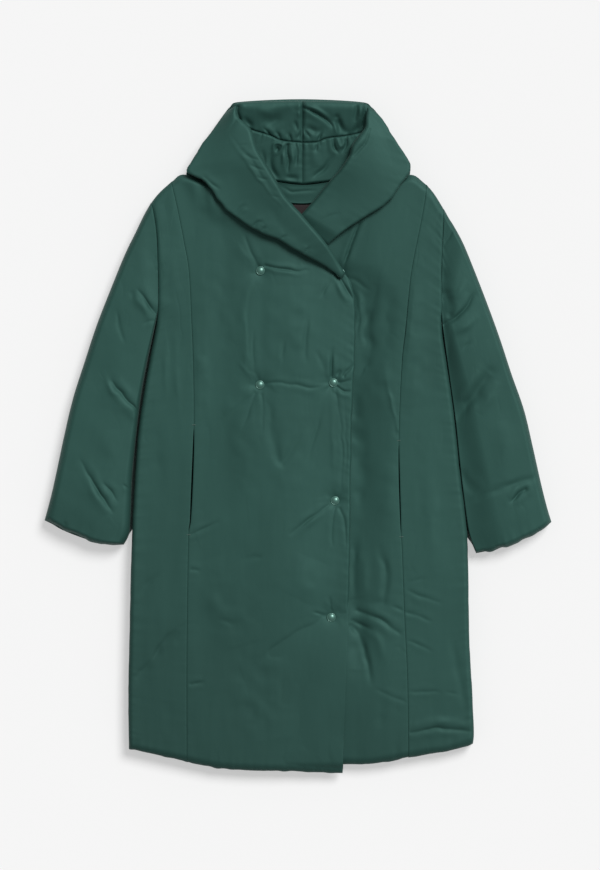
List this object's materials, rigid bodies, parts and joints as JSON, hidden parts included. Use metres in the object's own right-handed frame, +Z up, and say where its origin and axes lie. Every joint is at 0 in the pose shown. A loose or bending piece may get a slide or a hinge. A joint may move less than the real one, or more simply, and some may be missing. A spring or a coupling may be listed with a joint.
{
  "type": "long puffer coat",
  "caption": "Long padded coat laid flat on its back: hooded, below the knee, lapped front closed with domed snaps, slit pockets in the front seams.",
  "frame": {"origin": "centre of the footprint, on the surface that the coat lies on", "axes": "+X towards the wearer's left sleeve, +Y from the hem to the hood, +Z up out of the coat's front"},
  "size_m": [0.938, 1.2496, 0.0828],
  "materials": {
    "shell_fabric": "smooth satin-faced woven polyester over soft padding, dark green",
    "lining_fabric": "plain matt woven lining, very dark brown",
    "pocket_fabric": "the shell cloth in the shade of the pocket mouth, dark green",
    "snap_cap": "domed snap cap, enamelled in the shell's green"
  },
  "bodies": {
    "root": {"back": "shell_fabric", "right_front": "shell_fabric", "right_side_front": "shell_fabric", "left_front": "shell_fabric", "left_side_front": "shell_fabric", "right_sleeve": "shell_fabric", "left_sleeve": "shell_fabric", "hood_back": "shell_fabric", "hood_right_crown": "shell_fabric", "hood_left_crown": "shell_fabric", "hood_right_nape": "shell_fabric", "hood_left_nape": "shell_fabric", "hood_right_wing": "shell_fabric", "hood_left_wing": "shell_fabric", "neck_facing": "shell_fabric", "back_lining": "lining_fabric", "right_pocket": "pocket_fabric", "left_pocket": "pocket_fabric", "snap_1": "snap_cap", "snap_2": "snap_cap", "snap_3": "snap_cap", "snap_4": "snap_cap", "snap_5": "snap_cap", "snap_6": "snap_cap"}
  },
  "joints": []
}
